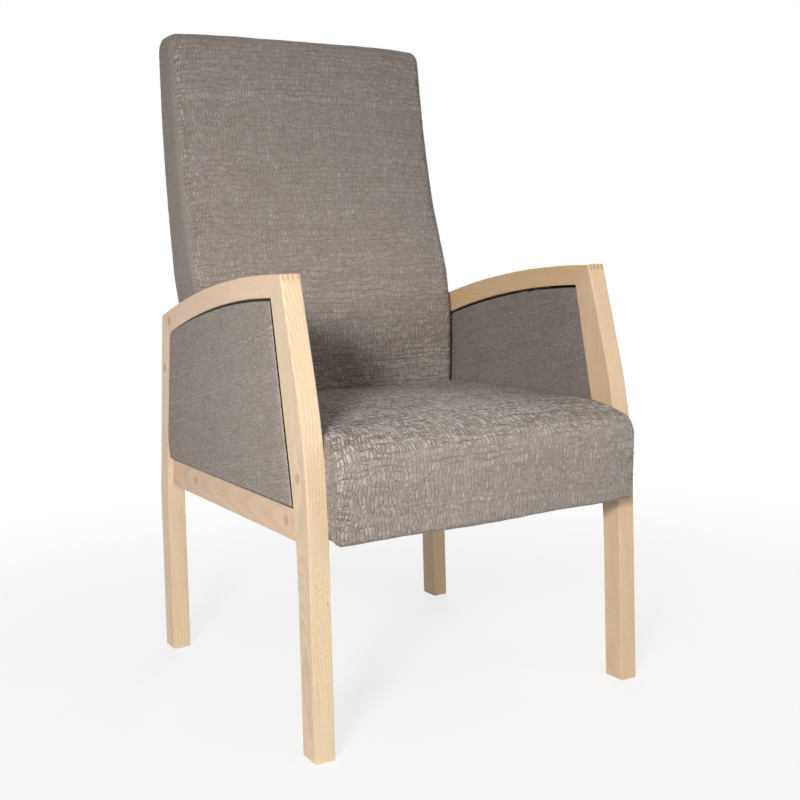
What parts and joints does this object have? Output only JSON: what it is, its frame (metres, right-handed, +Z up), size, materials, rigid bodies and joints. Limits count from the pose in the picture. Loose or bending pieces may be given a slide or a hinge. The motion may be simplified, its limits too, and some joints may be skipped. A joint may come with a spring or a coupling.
{
  "type": "fireside chair",
  "caption": "High-back upholstered armchair: padded seat and curved back carried between two bent wooden side frames, each with padded infill under an arched arm.",
  "frame": {"origin": "on the floor, under the middle of the overall bounding box", "axes": "+Z up, front of the chair towards -Y, +X to the right as seen from the front"},
  "size_m": [0.586, 0.6848, 1.092],
  "materials": {
    "beech": "clear satin lacquer on pale beech",
    "plug_beech": "satin lacquer on turned plugs, a little darker than the frame",
    "upholstery": "taupe woven upholstery with small crackled cells",
    "wadding": "cream upholstery foam and wadding",
    "panel_ply": "raw plywood",
    "carcass": "planed, unfinished",
    "webbing": "woven elastic webbing",
    "bolt_steel": "zinc plated",
    "dust_cloth": "black non-woven lining"
  },
  "bodies": {
    "root": {"front_leg_left": "beech", "rear_leg_left": "beech", "arm_left": "beech", "side_rail_left": "beech", "front_leg_right": "beech", "rear_leg_right": "beech", "arm_right": "beech", "side_rail_right": "beech", "plug_front_leg_left": "plug_beech", "plug_rail_front_left": "plug_beech", "plug_rail_rear_left": "plug_beech", "plug_rear_leg_left": "plug_beech", "plug_arm_left": "plug_beech", "plug_front_leg_right": "plug_beech", "plug_rail_front_right": "plug_beech", "plug_rail_rear_right": "plug_beech", "plug_rear_leg_right": "plug_beech", "plug_arm_right": "plug_beech", "bolt_front_leg_left": "bolt_steel", "bolt_rail_front_left": "bolt_steel", "bolt_rail_rear_left": "bolt_steel", "bolt_rear_leg_left": "bolt_steel", "bolt_arm_left": "bolt_steel", "bolt_front_leg_right": "bolt_steel", "bolt_rail_front_right": "bolt_steel", "bolt_rail_rear_right": "bolt_steel", "bolt_rear_leg_right": "bolt_steel", "bolt_arm_right": "bolt_steel", "panel_cover_left": "upholstery", "panel_cover_right": "upholstery", "seat_cover": "upholstery", "back_cover": "upholstery", "outside_back": "upholstery", "panel_padding_left": "wadding", "panel_padding_right": "wadding", "seat_foam": "wadding", "back_foam": "wadding", "panel_board_left": "panel_ply", "panel_board_right": "panel_ply", "seat_front_rail": "carcass", "seat_rear_rail": "carcass", "seat_side_rail_left": "carcass", "seat_side_rail_right": "carcass", "seat_corner_block_front_left": "carcass", "seat_corner_block_front_right": "carcass", "seat_corner_block_rear_left": "carcass", "seat_corner_block_rear_right": "carcass", "back_upright_left": "carcass", "back_upright_right": "carcass", "back_head_rail": "carcass", "back_foot_rail": "carcass", "seat_strap_1": "webbing", "seat_strap_2": "webbing", "seat_strap_3": "webbing", "seat_strap_4": "webbing", "back_strap_1": "webbing", "back_strap_2": "webbing", "back_strap_3": "webbing", "seat_dust_cover": "dust_cloth"}
  },
  "joints": []
}
